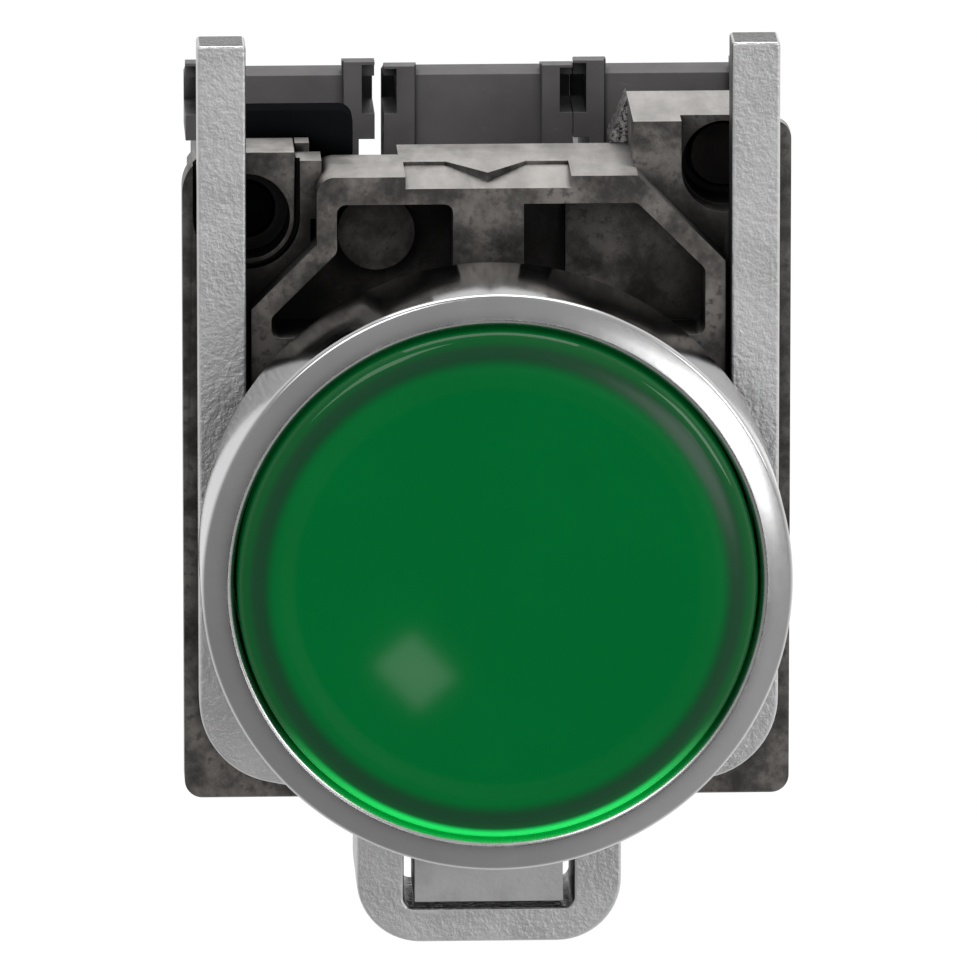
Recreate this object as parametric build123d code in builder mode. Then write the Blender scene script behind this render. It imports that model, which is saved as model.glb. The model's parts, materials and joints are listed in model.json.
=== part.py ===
from build123d import *

import math
import os

# Illuminated push button for a round panel hole, in millimetres.
# The button moves along Y and its front faces -Y. +Z is up.
# The origin is on the button's axis, where the gasket seats on the panel.

# Head: bezel, barrel and gasket
bezel_radius = 14.5
bezel_depth = 7.45
bezel_edge_radius = 0.25
bezel_crown = 0.2
bezel_lip = 0.3
bezel_web = 1.0
bezel_ring = 1.55
gasket_thickness = 1.0
gasket_inset = 0.6
gasket_edge = 0.3
barrel_radius = 11.0
barrel_length = 13.5
barrel_bore = 9.4
barrel_flange = 0.8
barrel_chamfer = 0.4
latch_groove_depth = 0.8
latch_groove_front = 8.6
latch_groove_width = 2.0
spring_seat_front = 8.5
spring_seat_thickness = 1.5
seal_pocket_depth = 2.0
seal_pocket_step = 0.8
seal_end_gap = 0.2
seal_lip_front = 0.5
seal_lip_width = 0.4
seal_back = 0.5
key_width = 2.0
key_height = 0.6
key_front = 2.2
key_gap = 0.2

# Button: lens, diffuser and pusher
lens_proud = 0.75
lens_rim_radius = 0.65
lens_dish = 0.3
lens_skirt = 1.3
lens_gap = 0.18
diffuser_thickness = 0.5
diffuser_tube = 0.6
diffuser_depth = 4.6
pusher_radius = 8.0
pusher_wall = 1.0
pusher_rear = 11.5
carrier_thickness = 0.6
shoulder_thickness = 1.4
press_travel = 4.0
stop_gap = 0.1
clip_thickness = 0.8
clip_groove = 0.4
clip_opening = 3.0
running_gap = 0.05
sliding_gap = 0.1
tolerance = 0.01
spring_wire = 0.7
spring_turns = 4.5

# Fixing collar behind the panel
collar_width = 30.2
collar_bottom = -14.0
collar_shoulder_top = 14.2
collar_front = 4.9
collar_rear = 16.0
collar_corner = 0.9
collar_plate = 2.0
collar_inset = 0.3
collar_bore_gap = 0.15
frame_front = 2.9
frame_top = 18.0
frame_bar = 1.4
frame_wall = 1.0
frame_left = -8.5
frame_right = 7.4
frame_inset = 3.35
frame_hub_radius = 12.2
frame_corner = 0.9
post_width = 3.5
pocket_depth = 4.5
pocket_drop = 4.7
pocket_shallow_depth = 3.5
pocket_deep_width = 2.2
pocket_corner = 0.45
frame_knee = 14.6
frame_bottom = 1.0
notch_half_width = 4.1
notch_drop = 0.6
notch_rear_drop = 0.2
notch_depth = 3.7
mark_half_width = 2.0
mark_tip = 0.95
top_rear_left = 8.4
top_rear_centre = 10.8
centre_left = -4.3
left_column_top = 18.9
left_column_width = 6.35
left_column_rear = 8.4
left_column_corner = 2.0
side_wall_top = 18.45
side_wall_bottom = 15.5
side_wall_rear = 7.1
side_wall_overlap = 0.3
right_column_top = 20.3
right_column_width = 7.85
right_column_rear = 12.4
right_column_plate = 1.0
right_column_inset = 0.75
right_face_width = 5.45
right_face_rim = 0.9
right_face_step = 1.5
boss_x = -5.45
boss_z = 14.5
boss_radius = 1.93
boss_front = 6.4
tongue_half_width = 3.7
tongue_front = 2.6
tongue_depth = 5.5
tongue_gap = 0.25
stub_width = 0.9
stub_edge = 0.2
stub_rear = 13.4

# Clamp plate with two arms and a bottom loop
yoke_front = 2.3
arm_width = 2.4
arm_inset = 0.7
arm_top = 24.8
yoke_corner = 4.2
yoke_plate_bottom = -11.9
loop_half_width = 6.6
loop_bottom = -20.9
loop_corner = 3.2
loop_depth = 6.5
loop_top = -14.6
loop_shoulder = 1.6
arm_edge = 0.2
slot_half_width = 4.25
slot_bottom = -19.15
slot_top = -13.6
slot_corner = 0.5

# Locking lever and its bush, clamp screw
lever_inset = 3.18
lever_z = 15.63
lever_pivot_radius = 1.4
lever_front = 8.7
lever_thickness = 1.7
lever_pivot_front = 7.3
lever_slot_gap = 0.25
lever_slot_bottom = 3.5
pad_outer = 1.7
pad_width = 6.87
pad_bottom = 14.6
pad_top = 20.25
pad_corner = 0.7
hook_width = 2.2
hook_root = 3.4
hook_gap = 0.25
bush_radius = 2.4
bush_gap = 0.25
bush_rebate = 0.8
bush_counterbore = 2.12
bush_face = 2.0
screw_inset = 3.25
screw_z = 17.9
screw_radius = 1.75
screw_tip_radius = 1.55
screw_tip = 1.6
screw_front = 8.4
screw_rear = 14.6
screw_counterbore = 2.1
screw_counterbore_depth = 0.8
screw_slot = 0.7
screw_slot_depth = 0.8

# Electrical blocks, side by side on the collar
left_block_pitch = 9.95
right_block_pitch = 9.52
block_width = 9.5
body_width = 7.9
block_depth = 26.7
block_middle = 2.6
block_half_height = 17.7
head_rise = 0.4
head_slope_depth = 1.5
head_depth = 4.5
head_height = 3.1
terminal_rear = 12.5
terminal_drop = 2.4
rear_half_height = 10.6
slot_side = 0.65
slot_drop = 1.8
slot_recess = 4.0
lug_width = 1.65
lug_height = 0.85
centre_lug_height = 0.62
lug_depth = 1.0
lug_roof = 0.15
lug_back = 0.3
face_half_width = 3.2
face_drop = 5.0
face_recess = 0.4
wall = 1.0
front_wall = 1.5
cover_thickness = 1.5
cover_plug = 1.0
cover_corner = 0.6
cover_rim = 1.5
cover_recess = 0.5
cover_recess_height = 5.0
cavity_half_height = 9.4
terminal_offset = 12.6
screw_well_radius = 2.1
terminal_screw_head = 1.9
terminal_screw_head_length = 1.6
terminal_screw_radius = 1.2
terminal_screw_sink = 0.3
terminal_screw_slot = 0.6
terminal_screw_cross = 2.6
screw_end_depth = 1.4
chamber_half_width = 2.6
chamber_front = 4.5
chamber_rear = 10.5
chamber_floor = 10.6
chamber_reach = 12.0
strip_width = 4.4
strip_thickness = 0.8
strip_end = 5.8
strip_reach = 2.2
strip_slot_height = 4.0
contact_pad_radius = 0.9
contact_pad = 0.4
contact_pad_inset = 1.1
plate_gap = 0.2
clamp_plate = 1.0
clamp_plate_front = 9.4
clamp_height = 3.6
plunger_x = 8.1
plunger_radius = 1.0
carriage_half_height = 4.0
carriage_width = 4.6
carriage_rear = 14.0
bridge_half_length = 8.0
bridge_width = 2.6
bridge_thickness = 0.6
bridge_corner = 0.6
make_gap = 8.4
block_spring_radius = 1.5
block_spring_wire = 0.45
block_spring_turns = 6
hook_reach = 2.5
hook_thickness = 0.9
hook_half_width = 2.4
nose_radius = 4.2
nose_wall = 0.9
nose_front = 3.6
led_radius = 2.4
led_length = 5.0
led_tip = 0.6
led_lead = 0.5
led_lead_pitch = 1.6
board_thickness = 1.2

# Places worked out from the sizes above
bezel_rear = -gasket_thickness
bezel_front = bezel_rear - bezel_depth
bezel_bore = bezel_radius - bezel_ring
lens_radius = bezel_bore - lens_gap
gasket_radius = bezel_radius - gasket_inset
lens_front = bezel_front - lens_proud
flange_rear = bezel_rear - bezel_web
flange_front = flange_rear - barrel_flange
carrier_rear = flange_front - press_travel - stop_gap
carrier_front = carrier_rear - carrier_thickness
seat_rear = spring_seat_front + spring_seat_thickness
seat_bore = pusher_radius + sliding_gap
seal_pocket_rear = flange_front + seal_pocket_depth
seal_pocket_radius = barrel_bore + seal_pocket_step
shoulder_front = seal_pocket_rear + stop_gap
clip_front = seat_rear + running_gap
shoulder_radius = barrel_bore - running_gap
collar_bore = barrel_radius + collar_bore_gap
frame_half_width = collar_width / 2 - frame_inset
pocket_low = frame_knee - pocket_drop
lever_x = lever_inset - collar_width / 2
screw_x = collar_width / 2 - screw_inset
arm_outer = collar_width / 2 - arm_inset
pad_left = pad_outer - collar_width / 2
pad_right = pad_left + pad_width
right_face_inner = collar_width / 2 - right_face_width
right_face_outer = collar_width / 2 - right_face_rim
left_column_inner = left_column_width - collar_width / 2
right_column_inner = collar_width / 2 - right_column_width
arm_inner = arm_outer - arm_width
yoke_rear = collar_front
block_front = collar_rear
block_rear = block_front + block_depth
plunger_tip = pusher_rear + running_gap
lever_rear = lever_front + lever_thickness
lens_back = carrier_front - diffuser_thickness
strip_front = block_front + chamber_front
board_front = strip_front + strip_thickness
led_front = nose_front - led_tip
led_rear = nose_front + led_length
head_slope = (terminal_drop + head_rise) / (terminal_rear - head_slope_depth)
latch_floor = barrel_radius - latch_groove_depth


def across(y):
    """The plane across the button's axis at y, with X to the right and Z up."""
    return Plane.XZ.offset(-y)


def save(piece, name):
    """Label a finished piece and write it."""
    piece.label = name
    export_step(piece, f"parts/{name}.step")


def turned(points):
    """A ring turned about the button's axis from its points, each radius and y."""
    with BuildPart() as ring:
        with BuildSketch(Plane.XY):
            Polygon(*points, align=None)
        revolve(axis=Axis.Y)
    return ring.part


def coil(radius, wire, turns, y_start, y_end, x=0.0, z=0.0):
    """A plain coil spring along Y between two y values."""
    height = y_end - y_start - wire
    with BuildPart() as spring:
        with BuildLine() as path:
            Helix(
                pitch=height / turns,
                height=height,
                radius=radius,
                center=(x, y_start + wire / 2, z),
                direction=(0, 1, 0),
            )
        with BuildSketch(Plane(origin=path.line @ 0, z_dir=path.line % 0)):
            Circle(wire / 2)
        sweep(path=path.line, is_frenet=True)
    return spring.part


os.makedirs("parts", exist_ok=True)

# Bezel: a chromed ring with a thin web at the back
with BuildPart() as bezel:
    with BuildSketch(Plane.XY):
        Polygon(
            (bezel_radius, bezel_rear),
            (bezel_radius, bezel_front),
            (bezel_bore, bezel_front - bezel_crown),
            (bezel_bore, flange_rear),
            (barrel_radius + running_gap, flange_rear),
            (barrel_radius + running_gap, bezel_rear),
            align=None,
        )
    revolve(axis=Axis.Y)
    outer_edge = bezel.edges().filter_by(GeomType.CIRCLE).filter_by(
        lambda e: abs(e.radius - bezel_radius) < tolerance and e.center().Y < flange_front
    )
    fillet(outer_edge, bezel_edge_radius)
    inner_edge = bezel.edges().filter_by(GeomType.CIRCLE).filter_by(
        lambda e: abs(e.radius - bezel_bore) < tolerance and e.center().Y < flange_front
    )
    fillet(inner_edge, bezel_lip)
save(bezel.part, "bezel")

# Barrel of the head, with its flange, spring seat, latch groove and key
with BuildPart() as head_body:
    with BuildSketch(Plane.XY):
        Polygon(
            (bezel_bore - sliding_gap, flange_front),
            (bezel_bore - sliding_gap, flange_rear),
            (barrel_radius, flange_rear),
            (barrel_radius, latch_groove_front),
            (latch_floor, latch_groove_front),
            (latch_floor, latch_groove_front + latch_groove_width),
            (barrel_radius, latch_groove_front + latch_groove_width),
            (barrel_radius, barrel_length),
            (barrel_bore, barrel_length),
            (barrel_bore, seat_rear),
            (seat_bore, seat_rear),
            (seat_bore, spring_seat_front),
            (barrel_bore, spring_seat_front),
            (barrel_bore, seal_pocket_rear),
            (seal_pocket_radius, seal_pocket_rear),
            (seal_pocket_radius, flange_front),
            align=None,
        )
    revolve(axis=Axis.Y)
    with BuildSketch(across(latch_groove_front)):
        with Locations((0, barrel_radius)):
            Rectangle(key_width, 2 * key_height)
    extrude(amount=latch_groove_front - key_front)
    rear_rim = head_body.edges().filter_by(GeomType.CIRCLE).filter_by(
        lambda e: abs(e.radius - barrel_radius) < tolerance and e.center().Y > barrel_length - tolerance
    )
    chamfer(rear_rim, barrel_chamfer)
save(head_body.part, "head_body")

# Panel gasket
with BuildPart() as panel_gasket:
    with BuildSketch(Plane.XY):
        Polygon(
            (barrel_radius + sliding_gap, bezel_rear),
            (gasket_radius, bezel_rear),
            (gasket_radius, 0),
            (barrel_radius + sliding_gap, 0),
            align=None,
        )
    revolve(axis=Axis.Y)
    gasket_rim = panel_gasket.edges().filter_by(GeomType.CIRCLE).group_by(SortBy.RADIUS)[-1]
    fillet(gasket_rim, gasket_edge)
save(panel_gasket.part, "panel_gasket")

# Lens: a shallow green cap with a rounded rim and a slightly dished face
lens_inner = lens_radius - lens_skirt
with BuildPart() as lens_cap:
    with BuildSketch(Plane.XY):
        with BuildLine():
            Line((lens_radius, carrier_rear), (lens_radius, lens_front + lens_rim_radius))
            RadiusArc(
                (lens_radius, lens_front + lens_rim_radius),
                (lens_radius - lens_rim_radius, lens_front),
                lens_rim_radius,
            )
            Spline(
                (lens_radius - lens_rim_radius, lens_front),
                (0, lens_front + lens_dish),
                tangents=((-1, 0), (-1, 0)),
            )
            Line((0, lens_front + lens_dish), (0, lens_back))
            Line((0, lens_back), (lens_inner, lens_back))
            Line((lens_inner, lens_back), (lens_inner, carrier_rear))
            Line((lens_inner, carrier_rear), (lens_radius, carrier_rear))
        make_face()
    revolve(axis=Axis.Y)
save(lens_cap.part, "lens_cap")

# Diffuser: a white disc under the lens with a short tube in the pusher
disc_radius = lens_inner - sliding_gap
tube_radius = pusher_radius - pusher_wall - sliding_gap
light_diffuser = turned(
    [
        (0, carrier_front - diffuser_thickness),
        (disc_radius, carrier_front - diffuser_thickness),
        (disc_radius, carrier_front),
        (tube_radius, carrier_front),
        (tube_radius, carrier_front + diffuser_depth),
        (tube_radius - diffuser_tube, carrier_front + diffuser_depth),
        (tube_radius - diffuser_tube, carrier_front),
        (0, carrier_front),
    ]
)
save(light_diffuser, "light_diffuser")

# Pusher: the sleeve that carries the lens and presses the blocks
pusher = turned(
    [
        (pusher_radius - pusher_wall, carrier_front),
        (disc_radius, carrier_front),
        (disc_radius, carrier_rear),
        (pusher_radius, carrier_rear),
        (pusher_radius, shoulder_front),
        (shoulder_radius, shoulder_front),
        (shoulder_radius, shoulder_front + shoulder_thickness),
        (pusher_radius, shoulder_front + shoulder_thickness),
        (pusher_radius, clip_front),
        (pusher_radius - clip_groove, clip_front),
        (pusher_radius - clip_groove, clip_front + clip_thickness),
        (pusher_radius, clip_front + clip_thickness),
        (pusher_radius, pusher_rear),
        (pusher_radius - pusher_wall, pusher_rear),
    ]
)
save(pusher, "pusher")

# Retaining ring: an open clip in the pusher's groove, behind the spring seat
with BuildPart() as retaining_ring:
    with BuildSketch(across(clip_front + clip_thickness)):
        Circle(barrel_bore - sliding_gap)
        Circle(pusher_radius - clip_groove + running_gap, mode=Mode.SUBTRACT)
        with Locations((0, -barrel_bore)):
            Rectangle(clip_opening, barrel_bore, mode=Mode.SUBTRACT)
    extrude(amount=clip_thickness)
save(retaining_ring.part, "retaining_ring")

# Wiper seal between the pusher and the barrel
seal_outer = seal_pocket_radius - running_gap
seal_lip = pusher_radius + running_gap
seal_root = barrel_bore - seal_end_gap
pusher_seal = turned(
    [
        (seal_outer, seal_pocket_rear),
        (seal_outer, flange_front + seal_end_gap),
        (seal_root, flange_front + seal_end_gap),
        (seal_lip, flange_front + seal_lip_front),
        (seal_lip, flange_front + seal_lip_front + seal_lip_width),
        (seal_root, seal_pocket_rear - seal_back),
        (seal_root, seal_pocket_rear),
    ]
)
save(pusher_seal, "pusher_seal")

# Return spring between the pusher's shoulder and the spring seat
return_spring = coil(
    (pusher_radius + barrel_bore) / 2,
    spring_wire,
    spring_turns,
    shoulder_front + shoulder_thickness,
    spring_seat_front,
)
save(return_spring, "return_spring")


def frame_points():
    """Front outline of the collar's raised frame."""
    left_drop = frame_half_width + frame_left
    right_drop = frame_half_width - frame_right
    return [
        (frame_left, frame_top),
        (frame_right, frame_top),
        (frame_half_width, frame_top - right_drop),
        (frame_half_width, frame_bottom),
        (-frame_half_width, frame_bottom),
        (-frame_half_width, frame_knee - left_drop),
        (frame_left, frame_knee),
    ]


def pocket_points(side):
    """Outline of the deep pocket left (-1) or right (1) of the centre post."""
    post = post_width / 2
    under = frame_top - frame_bar
    outer = frame_half_width - frame_wall
    slant = frame_wall * math.sqrt(2)
    if side < 0:
        upright = -frame_left - frame_wall
        diagonal = frame_knee - frame_left - slant
        upper = [(upright, under), (upright, diagonal - upright)]
    else:
        diagonal = frame_top + frame_right - slant
        upper = [(diagonal - under, under)]
    lower = [(outer, diagonal - outer), (outer, pocket_low), (post, pocket_low)]
    return [(side * x, z) for x, z in [(post, under)] + upper + lower]


# Fixing collar: one die casting
with BuildPart() as fixing_collar:
    with BuildSketch(across(collar_rear)):
        with Locations((0, (collar_bottom + collar_shoulder_top) / 2)):
            RectangleRounded(collar_width, collar_shoulder_top - collar_bottom, collar_corner)
    extrude(amount=collar_rear - collar_front)
    # raised frame in front of the shoulders
    with BuildSketch(across(top_rear_left)):
        Polygon(*frame_points(), align=None)
    extrude(amount=top_rear_left - frame_front)
    # centre of the top, which runs further back
    with BuildSketch(across(top_rear_centre)):
        with Locations(((centre_left + right_column_inner) / 2, (frame_top + barrel_radius) / 2)):
            Rectangle(right_column_inner - centre_left, frame_top - barrel_radius)
    extrude(amount=top_rear_centre - frame_front - frame_wall)
    # left column, which carries the lever's bush
    with BuildSketch(across(left_column_rear)):
        with Locations(((left_column_inner - collar_width / 2) / 2, left_column_top / 2)):
            Rectangle(left_column_inner + collar_width / 2, left_column_top)
    extrude(amount=left_column_rear - collar_front)
    # right column, which carries the clamp screw
    with BuildSketch(across(right_column_rear)):
        with Locations(((right_column_inner + collar_width / 2) / 2, right_column_top / 2)):
            Rectangle(collar_width / 2 - right_column_inner, right_column_top)
    extrude(amount=right_column_rear - collar_front)
    # upright outer corners of both columns
    column_corners = fixing_collar.edges().filter_by(Axis.Y).filter_by(
        lambda e: abs(abs(e.center().X) - collar_width / 2) < tolerance
        and e.center().Z > collar_shoulder_top
    )
    fillet(column_corners.group_by(Axis.X)[0], left_column_corner)
    fillet(column_corners.group_by(Axis.X)[-1], collar_corner)
    # sides set in behind the front plate, and more so on the right column
    with BuildSketch(across(collar_rear)):
        for side in (-1, 1):
            with Locations((side * collar_width / 2, 0)):
                Rectangle(2 * collar_inset, 2 * right_column_top)
    extrude(amount=collar_rear - collar_front - collar_plate, mode=Mode.SUBTRACT)
    with BuildSketch(across(collar_rear)):
        with Locations((collar_width / 2, (right_column_top + collar_shoulder_top) / 2)):
            Rectangle(2 * right_column_inset, right_column_top - collar_shoulder_top)
    extrude(amount=collar_rear - collar_front - right_column_plate, mode=Mode.SUBTRACT)
    # corner of the frame beside the left column
    frame_edge = fixing_collar.edges().filter_by(Axis.Y).filter_by(
        lambda e: abs(e.center().X - frame_left) < tolerance
        and e.center().Z > frame_top - tolerance
    )
    fillet(frame_edge, frame_corner)
    # wall between the left column and the frame, with the column stepped down to it
    with BuildSketch(across(side_wall_rear)):
        with Locations(
            (
                (left_column_inner + frame_left) / 2,
                (side_wall_top + side_wall_bottom) / 2,
            )
        ):
            Rectangle(
                frame_left - left_column_inner + 2 * side_wall_overlap,
                side_wall_top - side_wall_bottom,
            )
    extrude(amount=side_wall_rear - collar_front)
    with BuildSketch(across(side_wall_rear)):
        with Locations(
            (
                (lever_x + bush_radius + left_column_inner) / 2,
                (side_wall_top + left_column_top) / 2,
            )
        ):
            Rectangle(
                left_column_inner - lever_x - bush_radius,
                left_column_top - side_wall_top,
            )
    extrude(amount=side_wall_rear - collar_front, mode=Mode.SUBTRACT)
    # bore for the barrel, with a keyway, open to the back
    with BuildSketch(across(collar_rear)):
        Circle(collar_bore)
        with Locations((0, collar_bore)):
            Rectangle(key_width + 2 * key_gap, 2 * (key_height + key_gap))
    extrude(amount=collar_rear, mode=Mode.SUBTRACT)
    # two pockets beside the post, clear of the hub round the bore
    for side, depth in ((-1, pocket_depth), (1, pocket_shallow_depth)):
        with BuildSketch(across(frame_front + depth)) as pocket:
            Polygon(*pocket_points(side), align=None)
            fillet(pocket.vertices(), pocket_corner)
            Circle(frame_hub_radius, mode=Mode.SUBTRACT)
        extrude(amount=depth, mode=Mode.SUBTRACT)
    # deeper strip of the right pocket, beside the post
    with BuildSketch(across(frame_front + pocket_depth)):
        with Locations(
            (
                (post_width + pocket_deep_width) / 2,
                (frame_top - frame_bar + pocket_low) / 2,
            )
        ):
            Rectangle(pocket_deep_width, frame_top - frame_bar - pocket_low)
        Circle(frame_hub_radius, mode=Mode.SUBTRACT)
    extrude(amount=pocket_depth, mode=Mode.SUBTRACT)
    # round boss in the left pocket
    with BuildSketch(across(frame_front + pocket_depth)):
        with Locations((boss_x, boss_z)):
            Circle(boss_radius)
    extrude(amount=frame_front + pocket_depth - boss_front)
    # recess along the top of the bar, with a pointer mark left in its middle
    with BuildSketch(Plane.YZ.offset(-notch_half_width)):
        Polygon(
            (frame_front, frame_top),
            (frame_front, frame_top - notch_drop),
            (frame_front + notch_depth, frame_top - notch_rear_drop),
            (frame_front + notch_depth, frame_top),
            align=None,
        )
    extrude(amount=2 * notch_half_width, mode=Mode.SUBTRACT)
    with BuildSketch(Plane.XY.offset(frame_top - notch_drop)):
        Polygon(
            (-mark_half_width, frame_front + notch_depth),
            (mark_half_width, frame_front + notch_depth),
            (0, frame_front + mark_tip),
            align=None,
        )
    extrude(amount=notch_drop)
    # set back face round the clamp screw
    with BuildSketch(across(collar_front + right_face_step)):
        with Locations(
            ((right_face_inner + right_face_outer) / 2, (screw_z + right_column_top) / 2)
        ):
            Rectangle(right_face_outer - right_face_inner, right_column_top - screw_z)
        with Locations((screw_x, screw_z)):
            Circle(screw_x - right_face_inner)
    extrude(amount=right_face_step, mode=Mode.SUBTRACT)
    with Locations(across(collar_front) * Location((screw_x, screw_z, 0))):
        Hole(screw_radius + running_gap, depth=right_column_rear)
    with BuildSketch(across(screw_front + screw_counterbore_depth)):
        with Locations((screw_x, screw_z)):
            Circle(screw_counterbore)
    extrude(amount=screw_front + screw_counterbore_depth - collar_front, mode=Mode.SUBTRACT)
    # pocket for the lever's bush, open at the top, with a wider groove round its front
    for gap, rear in (
        (running_gap, left_column_rear),
        (bush_gap, collar_front + bush_rebate),
    ):
        with BuildSketch(across(rear)):
            with Locations((lever_x, lever_z)):
                Circle(bush_radius + gap)
            with Locations((lever_x, (lever_z + left_column_top) / 2)):
                Rectangle(2 * (bush_radius + gap), left_column_top - lever_z)
        extrude(amount=rear - collar_front, mode=Mode.SUBTRACT)
    # slot in which the locking lever swings
    lever_slot_height = frame_top - lever_slot_bottom
    with BuildSketch(across(lever_rear + lever_slot_gap)):
        with Locations(
            ((centre_left - collar_width / 2) / 2, (frame_top + lever_slot_bottom) / 2)
        ):
            Rectangle(centre_left + collar_width / 2, lever_slot_height)
    extrude(amount=lever_thickness + 2 * lever_slot_gap, mode=Mode.SUBTRACT)
    # tongue that hooks into the loop of the clamp plate
    with BuildSketch(across(tongue_front + tongue_depth)):
        with Locations((0, (slot_bottom + tongue_gap + collar_bottom) / 2)):
            Rectangle(2 * tongue_half_width, collar_bottom - slot_bottom - tongue_gap)
    extrude(amount=tongue_depth)
    # web behind the top, with the stub that the casting gate left on it
    with BuildSketch(across(stub_rear)):
        with Locations((right_column_inner, (frame_top + barrel_radius) / 2)):
            Rectangle(2 * stub_width, frame_top - barrel_radius)
        Polygon(
            (right_column_inner, frame_top),
            (right_column_inner - stub_width, frame_top),
            (right_column_inner - stub_width, frame_top + stub_edge),
            (right_column_inner, right_column_top),
            align=None,
        )
        Circle(collar_bore, mode=Mode.SUBTRACT)
    extrude(amount=stub_rear - top_rear_centre)
save(fixing_collar.part, "fixing_collar")

# Clamp plate: two arms up and a loop below, with a deeper rim round the loop
with BuildPart() as clamp_yoke:
    with BuildSketch(across(yoke_rear)):
        Polygon(
            (-arm_outer, arm_top),
            (-arm_inner, arm_top),
            (-arm_inner, 0),
            (arm_inner, 0),
            (arm_inner, arm_top),
            (arm_outer, arm_top),
            (arm_outer, yoke_plate_bottom),
            (loop_half_width, yoke_plate_bottom - loop_shoulder),
            (loop_half_width, loop_bottom),
            (-loop_half_width, loop_bottom),
            (-loop_half_width, yoke_plate_bottom - loop_shoulder),
            (-arm_outer, yoke_plate_bottom),
            align=None,
        )
        Circle(arm_inner, mode=Mode.SUBTRACT)
    extrude(amount=yoke_rear - yoke_front)
    with BuildSketch(across(yoke_front + loop_depth)):
        with Locations((0, (loop_bottom + loop_top) / 2)):
            Rectangle(2 * loop_half_width, loop_top - loop_bottom)
    extrude(amount=loop_depth)
    plate_corners = clamp_yoke.edges().filter_by(Axis.Y).filter_by(
        lambda e: abs(abs(e.center().X) - arm_outer) < tolerance
        and abs(e.center().Z - yoke_plate_bottom) < tolerance
    )
    fillet(plate_corners, yoke_corner)
    loop_corners = clamp_yoke.edges().filter_by(Axis.Y).filter_by(
        lambda e: abs(e.center().Z - loop_bottom) < tolerance
    )
    fillet(loop_corners, loop_corner)
    arm_tips = clamp_yoke.edges().filter_by(Axis.Y).filter_by(
        lambda e: abs(e.center().Z - arm_top) < tolerance
    )
    fillet(arm_tips, arm_edge)
    with BuildSketch(across(yoke_front + loop_depth)):
        with Locations((0, (slot_bottom + slot_top) / 2)):
            RectangleRounded(2 * slot_half_width, slot_top - slot_bottom, slot_corner)
    extrude(amount=loop_depth, mode=Mode.SUBTRACT)
save(clamp_yoke.part, "clamp_yoke")

# Bush for the lever, pushed into its pocket from above
with BuildPart() as lever_bush:
    with BuildSketch(across(left_column_rear)):
        with Locations((lever_x, lever_z)):
            Circle(bush_radius)
        with Locations((lever_x, (lever_z + left_column_top) / 2)):
            Rectangle(2 * bush_radius, left_column_top - lever_z)
    extrude(amount=left_column_rear - collar_front)
    with Locations(across(collar_front) * Location((lever_x, lever_z, 0))):
        CounterBoreHole(
            lever_pivot_radius + running_gap,
            bush_counterbore,
            bush_face,
            depth=left_column_rear,
        )
save(lever_bush.part, "lever_bush")

# Locking lever: pivot, thumb pad and the hook in the barrel's groove
lever_reach = math.hypot(lever_x, lever_z)
lever_angle = math.degrees(math.atan2(lever_z, lever_x))
hook_middle = (lever_reach + barrel_bore) / 2 / lever_reach
with BuildPart() as locking_lever:
    with BuildSketch(across(lever_rear)):
        with Locations(((pad_left + pad_right) / 2, (pad_bottom + pad_top) / 2)):
            RectangleRounded(pad_right - pad_left, pad_top - pad_bottom, pad_corner)
        with Locations((lever_x * hook_middle, lever_z * hook_middle)):
            Rectangle(lever_reach - barrel_bore, hook_width, rotation=lever_angle)
        with Locations((lever_x, lever_z)):
            Circle(hook_root / 2)
        Circle(latch_floor + hook_gap, mode=Mode.SUBTRACT)
    extrude(amount=lever_thickness)
    with BuildSketch(across(lever_rear)):
        with Locations((lever_x, lever_z)):
            Circle(lever_pivot_radius)
    extrude(amount=lever_rear - lever_pivot_front)
save(locking_lever.part, "locking_lever")

# Clamp screw behind the right arm, slotted at the back
with BuildPart() as clamp_screw:
    with BuildSketch(across(screw_rear)):
        with Locations((screw_x, screw_z)):
            Circle(screw_radius)
    extrude(amount=screw_rear - screw_front - screw_tip)
    with BuildSketch(across(screw_rear)):
        with Locations((screw_x, screw_z)):
            Circle(screw_tip_radius)
    extrude(amount=screw_rear - screw_front)
    with BuildSketch(across(screw_rear)):
        with Locations((screw_x, screw_z)):
            Rectangle(2 * screw_radius, screw_slot)
    extrude(amount=screw_slot_depth, mode=Mode.SUBTRACT)
save(clamp_screw.part, "clamp_screw")


def block_side_points():
    """Side outline of a block's housing, as y and height from the block's middle."""
    upper = [
        (block_front, block_half_height),
        (block_front + head_slope_depth, block_half_height + head_rise),
        (block_front + terminal_rear, block_half_height - terminal_drop),
        (block_front + terminal_rear, rear_half_height),
        (block_rear - cover_thickness, rear_half_height),
    ]
    return upper + [(y, -z) for y, z in reversed(upper)]


def head_points(end):
    """Side outline of the wider head round the upper (1) or lower (-1) terminal."""
    low = block_half_height - head_height
    high = block_half_height + head_rise - head_slope * (head_depth - head_slope_depth)
    points = [
        (block_front, low),
        (block_front, block_half_height),
        (block_front + head_slope_depth, block_half_height + head_rise),
        (block_front + head_depth, high),
        (block_front + head_depth, low),
    ]
    return [(y, end * z) for y, z in points]


def side_plane(x):
    """The plane of a block's side outline, with Y to the right and Z up from its middle."""
    return Plane(origin=(x, 0, block_middle), x_dir=(0, 1, 0), z_dir=(1, 0, 0))


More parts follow.
